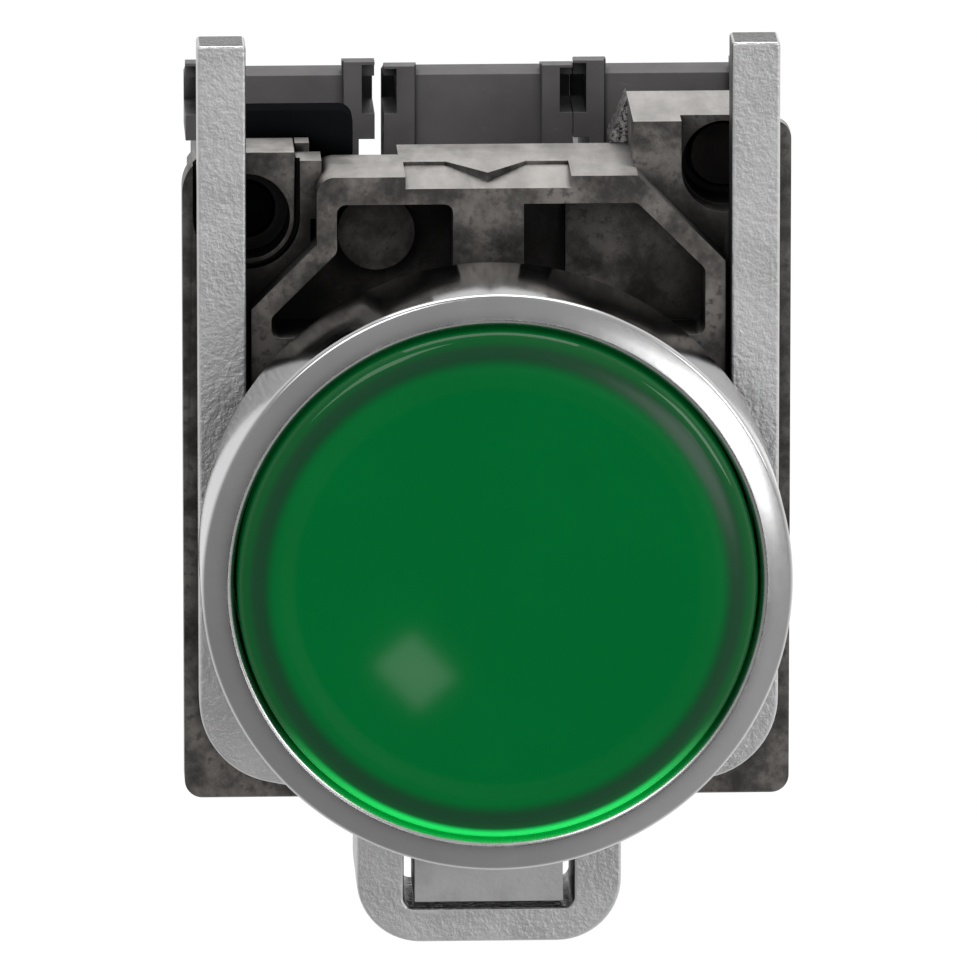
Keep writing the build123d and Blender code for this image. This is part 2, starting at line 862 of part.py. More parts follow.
def block_housing(x, lug, with_nose):
    """Moulded housing of one block, hollow and open at the back."""
    slot_middle = block_half_height - slot_drop / 2
    hollow = lug - lug_roof
    with BuildPart() as housing:
        with BuildSketch(side_plane(x)):
            Polygon(*block_side_points(), align=None)
        extrude(amount=body_width / 2, both=True)
        if with_nose:
            with BuildSketch(across(block_front + head_depth)):
                with Locations((x, block_middle)):
                    Rectangle(block_width, 2 * (block_half_height - head_height))
            extrude(amount=head_depth)
        # wider heads round the terminals
        for end in (-1, 1):
            with BuildSketch(side_plane(x)):
                Polygon(*head_points(end), align=None)
            extrude(amount=block_width / 2, both=True)
        # raised lugs at the corners of both heads
        with BuildSketch(across(block_front + lug_depth)):
            for side in (-1, 1):
                for end in (-1, 1):
                    with Locations(
                        (
                            x + side * (block_width - lug_width) / 2,
                            block_middle + end * block_half_height,
                        )
                    ):
                        Rectangle(lug_width, 2 * lug)
        extrude(amount=lug_depth)
        # slots beside the lugs, and the shallower hollows under the lugs' roofs
        with BuildSketch(across(block_front + slot_recess)):
            for side in (-1, 1):
                for end in (-1, 1):
                    with Locations(
                        (
                            x + side * block_width / 2,
                            block_middle + end * slot_middle,
                        )
                    ):
                        Rectangle(2 * slot_side, slot_drop)
        extrude(amount=slot_recess, mode=Mode.SUBTRACT)
        with BuildSketch(across(block_front + lug_depth - lug_back)):
            for side in (-1, 1):
                for end in (-1, 1):
                    with Locations(
                        (
                            x + side * block_width / 2,
                            block_middle + end * (block_half_height + hollow / 2),
                        )
                    ):
                        Rectangle(2 * slot_side, hollow)
        extrude(amount=lug_depth - lug_back, mode=Mode.SUBTRACT)
        # shallow recess in the front of the upper head
        with BuildSketch(across(block_front + face_recess)):
            with Locations((x, block_middle + block_half_height)):
                Rectangle(2 * face_half_width, 2 * face_drop)
        extrude(amount=face_recess, mode=Mode.SUBTRACT)
        # cavity for the works, open at the back
        with BuildSketch(across(block_rear)):
            with Locations((x, block_middle)):
                Rectangle(body_width - 2 * wall, 2 * cavity_half_height)
        extrude(amount=block_depth - front_wall, mode=Mode.SUBTRACT)
        # terminal chambers, open at the ends, and wells for the terminal screws
        for end in (-1, 1):
            with BuildSketch(across(block_front + chamber_rear)):
                with Locations((x, block_middle + end * (chamber_floor + chamber_reach / 2))):
                    Rectangle(2 * chamber_half_width, chamber_reach)
            extrude(amount=chamber_rear - chamber_front, mode=Mode.SUBTRACT)
            with BuildSketch(across(block_front + terminal_rear)):
                with Locations((x, block_middle + end * terminal_offset)):
                    Circle(screw_well_radius)
            extrude(amount=terminal_rear - chamber_rear, mode=Mode.SUBTRACT)
            # slot that lets the contact strip into the cavity
            with BuildSketch(across(strip_front + strip_thickness + running_gap)):
                with Locations((x, block_middle + end * chamber_floor)):
                    Rectangle(strip_width + 2 * running_gap, strip_slot_height)
            extrude(amount=strip_thickness + running_gap, mode=Mode.SUBTRACT)
            with BuildSketch(across(strip_front)):
                with Locations((x, block_middle + end * terminal_offset)):
                    Circle(terminal_screw_radius + sliding_gap)
            extrude(amount=screw_end_depth, mode=Mode.SUBTRACT)
        # hooks over and under the collar
        for low, high in (
            (collar_bottom - hook_thickness, collar_bottom),
            (collar_shoulder_top, collar_shoulder_top + hook_thickness),
        ):
            with BuildSketch(across(block_front)):
                with Locations((x, (low + high) / 2)):
                    Rectangle(2 * hook_half_width, high - low)
            extrude(amount=hook_reach)
        if with_nose:
            with BuildSketch(across(block_front)):
                Circle(nose_radius)
            extrude(amount=block_front - nose_front)
            with BuildSketch(across(block_front + front_wall)):
                Circle(nose_radius - nose_wall)
            extrude(amount=block_front + front_wall - nose_front, mode=Mode.SUBTRACT)
        else:
            with BuildSketch(across(block_front + front_wall)):
                with Locations((math.copysign(plunger_x, x), 0)):
                    Circle(plunger_radius + running_gap)
            extrude(amount=front_wall, mode=Mode.SUBTRACT)
    return housing.part


def block_cover(x):
    """Rear cover that closes the cavity."""
    with BuildPart() as cover:
        with BuildSketch(across(block_rear)):
            with Locations((x, block_middle)):
                RectangleRounded(body_width, 2 * rear_half_height, cover_corner)
        extrude(amount=cover_thickness)
        with BuildSketch(across(block_rear - cover_thickness)):
            with Locations((x, block_middle)):
                Rectangle(
                    body_width - 2 * (wall + sliding_gap),
                    2 * (cavity_half_height - sliding_gap),
                )
        extrude(amount=cover_plug)
        with BuildSketch(across(block_rear)):
            with Locations((x, block_middle)):
                Rectangle(body_width - 2 * cover_rim, cover_recess_height)
        extrude(amount=cover_recess, mode=Mode.SUBTRACT)
    return cover.part


def terminal_screws(x):
    """The two terminal screws of a block."""
    with BuildPart() as screws:
        for end in (-1, 1):
            z = block_middle + end * terminal_offset
            head_rear = block_front + terminal_rear - terminal_screw_sink
            with BuildSketch(across(head_rear)):
                with Locations((x, z)):
                    Circle(terminal_screw_head)
            extrude(amount=terminal_screw_head_length)
            with BuildSketch(across(head_rear)):
                with Locations((x, z)):
                    Circle(terminal_screw_radius)
            extrude(amount=head_rear - strip_front + screw_end_depth - 2 * sliding_gap)
            with BuildSketch(across(head_rear)):
                with Locations((x, z)):
                    Rectangle(2 * terminal_screw_head, terminal_screw_slot)
                    Rectangle(terminal_screw_slot, terminal_screw_cross)
            extrude(amount=terminal_screw_head_length / 2, mode=Mode.SUBTRACT)
    return screws.part


def terminal_clamps(x):
    """The two clamp plates under the terminal screws' heads."""
    with BuildPart() as clamps:
        for end in (-1, 1):
            z = block_middle + end * terminal_offset
            with BuildSketch(across(block_front + clamp_plate_front + clamp_plate)):
                with Locations((x, z)):
                    Rectangle(2 * (chamber_half_width - plate_gap), clamp_height)
                    Circle(terminal_screw_radius + running_gap, mode=Mode.SUBTRACT)
            extrude(amount=clamp_plate)
    return clamps.part


def strip_points(end, inner_front):
    """Side outline of a fixed contact, straight or stepped back to inner_front."""
    back = strip_front + strip_thickness
    inner_back = inner_front + strip_thickness
    outer_end = terminal_offset + strip_reach
    step = cavity_half_height - strip_thickness
    points = [(strip_front, outer_end)]
    if inner_front > strip_front:
        points += [(strip_front, step), (inner_front, step)]
    points += [(inner_front, strip_end), (inner_back, strip_end)]
    if inner_front > strip_front:
        points += [(inner_back, cavity_half_height), (back, cavity_half_height)]
    points += [(back, outer_end)]
    return [(y, end * z) for y, z in points]


def contact_strip(x, end, inner_front, pad_side):
    """Fixed contact from a terminal into the cavity, with a pad on one side of its end."""
    pad_y = inner_front if pad_side < 0 else inner_front + strip_thickness + contact_pad
    pad_z = block_middle + end * (strip_end + contact_pad_inset)
    with BuildPart() as strip:
        with BuildSketch(side_plane(x)):
            Polygon(*strip_points(end, inner_front), align=None)
        extrude(amount=strip_width / 2, both=True)
        if pad_side:
            with BuildSketch(across(pad_y)):
                with Locations((x, pad_z)):
                    Circle(contact_pad_radius)
            extrude(amount=contact_pad)
        with BuildSketch(across(strip_front + strip_thickness)):
            with Locations((x, block_middle + end * terminal_offset)):
                Circle(terminal_screw_radius + running_gap)
        extrude(amount=strip_thickness, mode=Mode.SUBTRACT)
    return strip.part


def contact_works(x, closes):
    """Plunger, bridge and spring of a contact block, and the front of its inner strips."""
    carriage_front = block_front + front_wall + sliding_gap
    if closes:
        inner_front = block_front + make_gap + contact_pad
        bridge_front = block_front + make_gap - press_travel - running_gap - bridge_thickness
    else:
        inner_front = strip_front
        bridge_front = inner_front + strip_thickness + contact_pad + running_gap
    bridge_rear = bridge_front + bridge_thickness
    with BuildPart() as plunger:
        with BuildSketch(across(carriage_front)):
            with Locations((math.copysign(plunger_x, x), 0)):
                Circle(plunger_radius)
        extrude(amount=carriage_front - plunger_tip)
        with BuildSketch(across(block_front + carriage_rear)):
            with Locations((x, block_middle)):
                Rectangle(carriage_width, 2 * carriage_half_height)
        extrude(amount=block_front + carriage_rear - carriage_front)
        with BuildSketch(across(bridge_rear)):
            with Locations((x, block_middle)):
                Rectangle(bridge_width, 2 * bridge_half_length)
        extrude(amount=bridge_thickness, mode=Mode.SUBTRACT)
    with BuildPart() as bridge:
        with BuildSketch(across(bridge_rear)):
            with Locations((x, block_middle)):
                RectangleRounded(bridge_width, 2 * bridge_half_length, bridge_corner)
        extrude(amount=bridge_thickness)
    spring = coil(
        block_spring_radius,
        block_spring_wire,
        block_spring_turns,
        block_front + carriage_rear,
        block_rear - cover_thickness - cover_plug,
        x=x,
        z=block_middle,
    )
    return plunger.part, bridge.part, spring, inner_front


# Left block closes a contact when pressed, right block opens one
for name, x, closes in (
    ("left", -left_block_pitch, True),
    ("right", right_block_pitch, False),
):
    plunger, bridge, spring, inner_front = contact_works(x, closes)
    save(block_housing(x, lug_height, False), f"{name}_contact_housing")
    save(block_cover(x), f"{name}_contact_cover")
    save(plunger, f"{name}_contact_plunger")
    save(bridge, f"{name}_contact_bridge")
    save(spring, f"{name}_contact_spring")
    pad_side = -1 if closes else 1
    save(contact_strip(x, 1, inner_front, pad_side), f"{name}_upper_contact")
    save(contact_strip(x, -1, inner_front, pad_side), f"{name}_lower_contact")
    save(terminal_screws(x), f"{name}_terminal_screws")
    save(terminal_clamps(x), f"{name}_terminal_clamps")

# Centre block: housing with the nose that carries the lamp
save(block_housing(0, centre_lug_height, True), "lamp_housing")
save(block_cover(0), "lamp_cover")
save(terminal_screws(0), "lamp_terminal_screws")
save(terminal_clamps(0), "lamp_terminal_clamps")
save(contact_strip(0, 1, strip_front, 0), "lamp_upper_terminal")
save(contact_strip(0, -1, strip_front, 0), "lamp_lower_terminal")

# Circuit board across the cavity, between the two terminals
with BuildPart() as lamp_board:
    with BuildSketch(across(board_front + board_thickness)):
        with Locations((0, block_middle)):
            Rectangle(
                body_width - 2 * (wall + plate_gap),
                2 * (cavity_half_height - plate_gap),
            )
    extrude(amount=board_thickness)
save(lamp_board.part, "lamp_board")

# Light-emitting diode in the nose, on its stem from the board
with BuildPart() as lamp_diode:
    with BuildSketch(Plane.XY):
        with BuildLine():
            Line((0, led_front), (0, led_rear))
            Line((0, led_rear), (led_radius, led_rear))
            Line((led_radius, led_rear), (led_radius, led_front + led_radius))
            RadiusArc((led_radius, led_front + led_radius), (0, led_front), led_radius)
        make_face()
    revolve(axis=Axis.Y)
    with BuildSketch(across(board_front)):
        with Locations((-led_lead_pitch / 2, 0), (led_lead_pitch / 2, 0)):
            Rectangle(led_lead, led_lead)
    extrude(amount=board_front - led_rear)
save(lamp_diode.part, "lamp_diode")
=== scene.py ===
import json
import math

import bmesh
import bpy
from bpy.props import FloatProperty, FloatVectorProperty, IntProperty, PointerProperty
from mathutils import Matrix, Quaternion, Vector


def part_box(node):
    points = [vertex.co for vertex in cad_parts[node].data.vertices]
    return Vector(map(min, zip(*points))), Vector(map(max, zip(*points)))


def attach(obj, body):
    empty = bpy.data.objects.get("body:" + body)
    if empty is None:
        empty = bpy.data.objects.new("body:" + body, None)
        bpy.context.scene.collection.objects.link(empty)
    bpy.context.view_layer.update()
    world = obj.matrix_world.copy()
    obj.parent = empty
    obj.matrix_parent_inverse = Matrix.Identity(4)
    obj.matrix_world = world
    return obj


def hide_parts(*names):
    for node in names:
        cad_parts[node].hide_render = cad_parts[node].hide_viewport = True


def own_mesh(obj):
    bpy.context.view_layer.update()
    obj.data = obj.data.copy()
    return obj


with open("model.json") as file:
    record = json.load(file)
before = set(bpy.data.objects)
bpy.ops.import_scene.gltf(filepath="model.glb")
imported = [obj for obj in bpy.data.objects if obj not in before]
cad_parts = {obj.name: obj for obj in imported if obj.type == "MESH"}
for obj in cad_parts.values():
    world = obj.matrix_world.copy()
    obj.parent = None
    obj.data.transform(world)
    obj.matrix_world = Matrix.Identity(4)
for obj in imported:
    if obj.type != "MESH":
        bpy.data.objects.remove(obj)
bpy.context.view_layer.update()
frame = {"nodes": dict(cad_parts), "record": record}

bl_info = {
    "name": "Illuminated Push Button",
    "version": (1, 0, 0),
    "blender": (4, 5, 0),
    "location": "3D View > Sidebar > Push Button",
    "description": "Dresses the frame of an illuminated push button and sets up its studio",
    "category": "Object",
}

MM = 0.001

# Sizes that the CAD pieces share, in metres
LENS_GAP = 0.18 * MM
LENS_SKIRT = 1.3 * MM
BEZEL_WEB = 1.0 * MM
BEZEL_HOLE = 11.05 * MM

# Radii where the finish of the turned pieces changes, each from and to, in metres
CHROME_SIDE = (14.36 * MM, 14.49 * MM)
CHROME_LIP = (13.4 * MM, 13.2 * MM)
# On the lens, the shaded band is a painted shadow
LENS_SHADED = (10.9 * MM, 11.6 * MM)
LENS_RIM = (11.9 * MM, 12.35 * MM)
# On the lens, the gathering band is a painted highlight
LENS_GATHERING = (12.2 * MM, 12.5 * MM)
LENS_SATIN = (9.7 * MM, 10.1 * MM)
LENS_CLEAR = (12.0 * MM, 12.2 * MM)

# Zones of the collar: its tongue below, and the broken gate beside the right column
TONGUE_TOP = (-13.9 * MM, -14.1 * MM)
GATE_RIGHT = 7.24 * MM
GATE_BOTTOM = 18.02 * MM
GATE_FRONT = 10.7 * MM

# Shape of the lens between its dish and its rim: angle in degrees, and radius in metres
LENS_TURN = 12.0
LENS_SOFT_EDGE = 7 * MM

# Steps along the curves of the turned profiles
DISH_STEPS = 28
SOFT_EDGE_STEPS = 16
RIM_STEPS = 12
BEZEL_EDGE_STEPS = 8
BEZEL_LIP_STEPS = 14

# Angles in degrees above which an edge is shaded crisp
BEZEL_CRISP = 22
LENS_CRISP = 40
MOULDED_CRISP = 30

# Easing of the CAD shapes: faces flatter than this angle join, and each piece's share of the edge
FLAT_ANGLE = 0.5
WELD_DISTANCE = 0.0001 * MM
EASED_SEGMENTS = 2
BUSH_EDGE = 0.6
CLAMP_EDGE = 1.4
LEVER_EDGE = 2

# Values between which nearly all of a noise lies
NOISE_MIDDLE = (0.3, 0.7)

# How far the painted shade reaches out of the corners, and the rays that look for them
CAST_SHADE_REACH = 5 * MM
CLAMP_SHADE_REACH = 3 * MM
PLASTIC_SHADE_REACH = 2.5 * MM
CORNER_RAYS = 8

# Depths of the relief that the finishes give
CHROME_RELIEF = 0.001 * MM
CAST_RELIEF = 0.04 * MM
CAST_GRAIN = 0.012 * MM
CLAMP_RELIEF = 0.06 * MM
LENS_RELIEF = 0.0004 * MM
MOULDED_RELIEF = 0.004 * MM
SMOOTH_RELIEF = 0.002 * MM
METAL_RELIEF = 0.002 * MM
RUBBER_RELIEF = 0.01 * MM

# Fixed colours of the small parts and stains
PLATED_STEEL = (0.52, 0.52, 0.5)
BLACKENED_STEEL = (0.03, 0.027, 0.026)
BRASS = (0.62, 0.46, 0.2)
WHITE_PLASTIC = (0.72, 0.72, 0.7)
BLACK_PLASTIC = (0.02, 0.02, 0.022)
COVER_PLASTIC = (0.03, 0.03, 0.032)
BOARD_LACQUER = (0.02, 0.16, 0.06)
RUBBER = (0.018, 0.018, 0.018)
RUBBER_DUST = (0.04, 0.04, 0.038)
RESIN_CLOUD = (0.6, 0.78, 0.62)
RESIN_CLEAR = (0.8, 0.92, 0.82)
TONGUE_DULL = (0.6, 0.6, 0.6)
TONGUE_BRIGHT = (0.68, 0.68, 0.68)
GRAIN_DARK = (0.02, 0.02, 0.02)
GRAIN_BRIGHT = (0.5, 0.49, 0.48)
FLOOR_PALE = (0.85, 0.85, 0.85, 1.0)
WHITE = (1.0, 1.0, 1.0, 1.0)

# Camera: aim, shifts, distance and clipping in metres, lens and sensor in millimetres
CAMERA_AIM = (0.0, -8.45 * MM, 0.0)
CAMERA_SHIFT_UP = 4.669 * MM
CAMERA_SHIFT_LEFT = 0.446 * MM
CAMERA_FORWARD = (0.03825, 0.97362, -0.22495)
CAMERA_RIGHT = (0.99923, -0.03926, 0.0)
CAMERA_DISTANCE = 0.8
CAMERA_LENS = 601.7
CAMERA_SENSOR = 36.0
CAMERA_CLIP = (0.01, 10.0)

# Lamps: place, point aimed at, size, power in watts and roll in degrees
BODY_MIDDLE = (0.0, 0.0, 4 * MM)
BEZEL_FRONT = (0.0, -8 * MM, 0.0)
LENS_FRONT = (0.0, -10 * MM, 0.0)
LAMPS = {
    "top_lamp": ((0.0, 0.05, 0.55), BODY_MIDDLE, (0.5, 0.4), 1.6, 0.0),
    "front_lamp": ((-0.25, -0.6, 0.35), BODY_MIDDLE, (0.3, 0.3), 0.9, 0.0),
    "side_lamp": ((0.45, -0.4, 0.2), BODY_MIDDLE, (0.25, 0.25), 0.8, 0.0),
    "right_lamp": ((0.134, -0.492, -0.032), BEZEL_FRONT, (0.095, 0.095), 0.078, 0.0),
    "lens_lamp": ((0.062, -0.842, -0.166), LENS_FRONT, (0.018, 0.023), 0.003, 42.0),
}

# Floor: half its width and its level in metres, and its own light towards the camera
FLOOR_REACH = 3.0
FLOOR_LEVEL = -0.2
FLOOR_GLOW = 1.2
FLOOR_GLOW_SHARE = 0.8
FLOOR_ROUGHNESS = 0.9

# Light of the room that shiny surfaces mirror: from and to along an axis, then its strengths,
# and a hollow round the way in which the flat fronts mirror the camera
ROOM_DEPTH = (-0.75, 0.4, 0.296, 0.8)
ROOM_RIGHT = (-0.05, 0.3, 0.0, 0.16)
ROOM_UPPER = (-0.3, 0.05, 0.0, 0.064)
MIRROR_WAY = (0.038, -0.974, -0.225)
ROOM_HOLLOW = (0.15, 0.25, 0.03, 1.0)

# Strength of the room's light on dull surfaces
ROOM_DIFFUSE = 0.32


# Settings that a user would change


def length_setting(name, description, default):
    """A setting that is a length in metres."""
    return FloatProperty(
        name=name,
        description=description,
        default=default,
        subtype="DISTANCE",
        unit="LENGTH",
        precision=5,
    )


def colour_setting(name, description, default):
    """A setting that is a colour."""
    return FloatVectorProperty(
        name=name,
        description=description,
        default=default,
        subtype="COLOR",
        size=3,
        min=0,
        max=1,
    )


class BUTTON_PG_sizes(bpy.types.PropertyGroup):
    """Sizes of the turned pieces and of the worn edges."""

    ring_segments: IntProperty(
        name="Ring Segments",
        description="Steps round the bezel, lens and other turned pieces",
        default=192,
        min=32,
    )
    bezel_edge: length_setting(
        "Bezel Edge Radius", "Rounding of the bezel's front outer edge", 0.25 * MM
    )
    bezel_lip: length_setting(
        "Bezel Lip Radius", "Rounding of the bezel's front inner edge", 0.3 * MM
    )
    bezel_tilt: FloatProperty(
        name="Bezel Tilt",
        description="Slope of the bezel's front, which stands out towards the lens, in degrees",
        default=7.35,
    )
    lens_rim: length_setting("Lens Rim Radius", "Rounding of the lens's rim", 0.65 * MM)
    lens_dish: length_setting(
        "Lens Dish", "How far the middle of the lens lies behind its rim", 0.3 * MM
    )
    cast_edge: length_setting("Cast Edge", "Rounding of the edges of the castings", 0.12 * MM)
    moulded_edge: length_setting(
        "Moulded Edge", "Rounding of the edges of the plastic mouldings", 0.1 * MM
    )


class BUTTON_PG_colours(bpy.types.PropertyGroup):
    """Colours of the finishes."""

    lens: colour_setting("Lens", "Green of the lens's disc", (0.0008, 0.108, 0.0215))
    lens_shadow: colour_setting(
        "Lens Shadow", "Darker green over the edge of the diffuser", (0.0045, 0.042, 0.0155)
    )
    lens_glow: colour_setting(
        "Lens Glow", "Bright green where light gathers in the lens's rim", (0.0, 0.72, 0.11)
    )
    chrome: colour_setting("Chrome", "Tint of the bezel's chrome", (0.62, 0.62, 0.62))
    casting: colour_setting("Casting", "Stained metal of the collar", (0.165, 0.153, 0.144))
    # Top faces of the collar: painted light from above, together with wear
    casting_lit_worn_top: colour_setting(
        "Bright Casting", "Clean metal on the collar's top faces", (0.5, 0.48, 0.46)
    )
    clamp: colour_setting(
        "Clamp Plate", "Textured grey metal of the clamp plate", (0.75, 0.75, 0.75)
    )
    block: colour_setting(
        "Block", "Dark grey plastic of the electrical blocks", (0.135, 0.128, 0.132)
    )
    pad: colour_setting("Pad", "Black plastic of the locking lever", (0.009, 0.01, 0.0115))


def sizes():
    """The size settings of this scene."""
    return bpy.context.scene.button_sizes


def colours():
    """The colour settings of this scene."""
    return bpy.context.scene.button_colours


# Materials


def shade(colour, factor):
    """The colour made darker or lighter by a factor."""
    return tuple(min(channel * factor, 1.0) for channel in colour)


class Finish:
    """A material with short calls for the nodes that all the finishes use."""

    def __init__(self, name):
        self.material = bpy.data.materials.new(name)
        self.material.use_nodes = True
        self.tree = self.material.node_tree
        self.shader = self.tree.nodes["Principled BSDF"]
        self.place = self.add("ShaderNodeTexCoord").outputs["Object"]

    def add(self, kind, **settings):
        """A new node with these settings."""
        node = self.tree.nodes.new(kind)
        for key, value in settings.items():
            setattr(node, key, value)
        return node

    def link(self, start, end):
        """Join an output to an input."""
        self.tree.links.new(start, end)

    def set(self, **values):
        """Constants set directly on the shader's sockets, named with underscores for spaces."""
        for key, value in values.items():
            self.shader.inputs[key.replace("_", " ")].default_value = value

    def noise(self, scale, detail=4.0, roughness=0.55, stretch=(1.0, 1.0, 1.0)):
        """Noise from 0 to 1 over the object, with features of about 1/scale metres."""
        source = self.place
        if stretch != (1.0, 1.0, 1.0):
            mapping = self.add("ShaderNodeMapping")
            mapping.inputs["Scale"].default_value = stretch
            self.link(self.place, mapping.inputs["Vector"])
            source = mapping.outputs["Vector"]
        texture = self.add("ShaderNodeTexNoise")
        texture.inputs["Scale"].default_value = scale
        texture.inputs["Detail"].default_value = detail
        texture.inputs["Roughness"].default_value = roughness
        self.link(source, texture.inputs["Vector"])
        return texture.outputs["Fac"]

    def span(self, value, low, high, to_low=0.0, to_high=1.0):
        """Value mapped smoothly from one range to another."""
        node = self.add("ShaderNodeMapRange", interpolation_type="SMOOTHSTEP")
        node.inputs["From Min"].default_value = low
        node.inputs["From Max"].default_value = high
        node.inputs["To Min"].default_value = to_low
        node.inputs["To Max"].default_value = to_high
        self.link(value, node.inputs["Value"])
        return node.outputs["Result"]

    def maths(self, operation, first, second=None):
        """One arithmetic step on sockets or numbers."""
        node = self.add("ShaderNodeMath", operation=operation)
        for socket, value in zip(node.inputs, (first, second)):
            if value is None:
                continue
            if isinstance(value, (int, float)):
                socket.default_value = value
            else:
                self.link(value, socket)
        return node.outputs["Value"]

    def mix(self, factor, first, second):
        """Blend of two colours, each a socket or an (r, g, b)."""
        node = self.add("ShaderNodeMix", data_type="RGBA")
        inputs = [socket for socket in node.inputs if socket.type == "RGBA"]
        self.link(factor, node.inputs["Factor"])
        for socket, value in zip(inputs, (first, second)):
            if isinstance(value, bpy.types.NodeSocket):
                self.link(value, socket)
            else:
                socket.default_value = (*value, 1.0)
        return next(socket for socket in node.outputs if socket.type == "RGBA")

    def bump(self, height, depth, under=None):
        """Relief of a depth in metres on the shader's normal."""
        node = self.add("ShaderNodeBump")
        node.inputs["Distance"].default_value = depth
        node.inputs["Strength"].default_value = 1.0
        self.link(height, node.inputs["Height"])
        if under is not None:
            self.link(under, node.inputs["Normal"])
        return node.outputs["Normal"]

    def crevices(self, reach):
        """From 0 in deep corners to 1 on open faces, for painted shade."""
        node = self.add("ShaderNodeAmbientOcclusion", samples=CORNER_RAYS)
        node.inputs["Distance"].default_value = reach
        return node.outputs["AO"]

    def axes(self, vector):
        """The X, Y and Z outputs of a vector."""
        split = self.add("ShaderNodeSeparateXYZ")
        self.link(vector, split.inputs["Vector"])
        return split.outputs

    def facing(self):
        """The X, Y and Z outputs of the surface's direction."""
        return self.axes(self.add("ShaderNodeNewGeometry").outputs["Normal"])

    def radius(self):
        """Distance from the button's axis."""
        place = self.axes(self.place)
        across = self.maths("MULTIPLY", place["X"], place["X"])
        upward = self.maths("MULTIPLY", place["Z"], place["Z"])
        return self.maths("SQRT", self.maths("ADD", across, upward))

    def paint(self, colour, roughness, normal=None):
        """Join the finished colour, roughness and normal to the shader."""
        for value, name in ((colour, "Base Color"), (roughness, "Roughness"), (normal, "Normal")):
            if value is not None:
                self.link(value, self.shader.inputs[name])
        return self.material


def chrome_finish():
    """Bright chrome with faint polishing marks, finest round its side and dull on its lip."""
    finish = Finish("bright_chrome")
    finish.set(Metallic=1.0, IOR=1.45)
    tint = tuple(colours().chrome)
    cloud = finish.noise(scale=260, detail=3)
    marks = finish.noise(scale=2200, detail=2, stretch=(1.0, 6.0, 1.0))
    colour = finish.mix(finish.span(cloud, *NOISE_MIDDLE), shade(tint, 0.93), tint)
    polished = finish.span(finish.maths("MULTIPLY", cloud, marks), 0.1, 0.45, 0.14, 0.2)
    side = finish.span(finish.radius(), *CHROME_SIDE, 0.0, -0.05)
    lip = finish.span(finish.radius(), *CHROME_LIP, 0.0, 0.12)
    roughness = finish.maths("ADD", finish.maths("ADD", polished, side), lip)
    return finish.paint(colour, roughness, finish.bump(marks, CHROME_RELIEF))


def casting_finish():
    """Stained zinc casting: brown-grey mottling, brighter and streaky on its top faces from
    painted light and wear, and painted shade in its corners.
    """
    finish = Finish("stained_casting")
    finish.set(Metallic=0.75)
    base = tuple(colours().casting)
    bright = tuple(colours().casting_lit_worn_top)
    patches = finish.noise(scale=420, detail=6, roughness=0.65)
    specks = finish.noise(scale=2600, detail=3, roughness=0.6)
    streaks = finish.noise(scale=900, detail=4, roughness=0.6, stretch=(1.0, 0.25, 1.0))
    dark = finish.mix(finish.span(patches, 0.36, 0.64), shade(base, 0.48), shade(base, 1.75))
    stained = finish.mix(finish.span(specks, 0.5, 0.72), dark, shade(base, 0.75))
    # Painted light and wear: faces turned upwards take a brighter, streaky colour
    upward = finish.span(finish.facing()["Z"], 0.55, 0.95)
    worn_and_lit = finish.mix(finish.span(streaks, *NOISE_MIDDLE), shade(bright, 0.72), bright)
    open_colour = finish.mix(upward, stained, worn_and_lit)
    place = finish.axes(finish.place)
    tongue = finish.span(place["Z"], *TONGUE_TOP)
    fine = finish.mix(finish.span(patches, *NOISE_MIDDLE), TONGUE_DULL, TONGUE_BRIGHT)
    zoned = finish.mix(tongue, open_colour, fine)
    beside = finish.maths("LESS_THAN", place["X"], GATE_RIGHT)
    above = finish.maths("GREATER_THAN", place["Z"], GATE_BOTTOM)
    behind = finish.maths("GREATER_THAN", place["Y"], GATE_FRONT)
    gate = finish.maths("MULTIPLY", finish.maths("MULTIPLY", beside, above), behind)
    grains = finish.noise(scale=5200, detail=2, roughness=0.7)
    broken = finish.mix(finish.span(grains, 0.35, 0.65), GRAIN_DARK, GRAIN_BRIGHT)
    # Painted shade: the colour darkens to near black in corners and hollows, but not on the
    # tongue.
    open_faces = finish.span(finish.crevices(CAST_SHADE_REACH), 0.32, 0.78)
    shade_mask = finish.maths("MAXIMUM", open_faces, tongue)
    corner_shaded = finish.mix(shade_mask, shade(base, 0.08), zoned)
    colour = finish.mix(gate, corner_shaded, broken)
    roughness = finish.span(patches, *NOISE_MIDDLE, 0.38, 0.62)
    grain = finish.bump(specks, CAST_GRAIN)
    return finish.paint(colour, roughness, finish.bump(patches, CAST_RELIEF, under=grain))


def clamp_finish():
    """Grey cast metal with a fine pebbled skin, dark on its tops, with painted shade in its slot
    and in its corners.
    """
    finish = Finish("pebbled_grey_metal")
    finish.set(Metallic=0.9)
    tint = tuple(colours().clamp)
    pebbles = finish.noise(scale=3700, detail=2, roughness=0.55)
    cloud = finish.noise(scale=300, detail=3)
    face = finish.mix(finish.span(cloud, *NOISE_MIDDLE), shade(tint, 0.9), tint)
    facing = finish.facing()
    upward = finish.span(facing["Z"], 0.9, 0.99)
    topped = finish.mix(upward, face, shade(tint, 0.09))
    # Painted shade on the inner faces of the arms, which face each other across the slot
    side = finish.maths("SIGN", finish.axes(finish.place)["X"])
    inward = finish.maths("MULTIPLY", facing["X"], side)
    inside = finish.span(inward, -0.6, -0.95)
    sided = finish.mix(inside, topped, shade(tint, 0.12))
    # Painted shade: the colour darkens in corners and hollows
    shade_mask = finish.span(finish.crevices(CLAMP_SHADE_REACH), 0.4, 0.85)
    colour = finish.mix(shade_mask, shade(tint, 0.05), sided)
    worn = finish.span(facing["Z"], 0.3, 0.7, 0.0, 0.25)
    roughness = finish.span(cloud, *NOISE_MIDDLE, 0.42, 0.52)
    smoother = finish.maths("SUBTRACT", roughness, worn)
    return finish.paint(colour, smoother, finish.bump(pebbles, CLAMP_RELIEF))


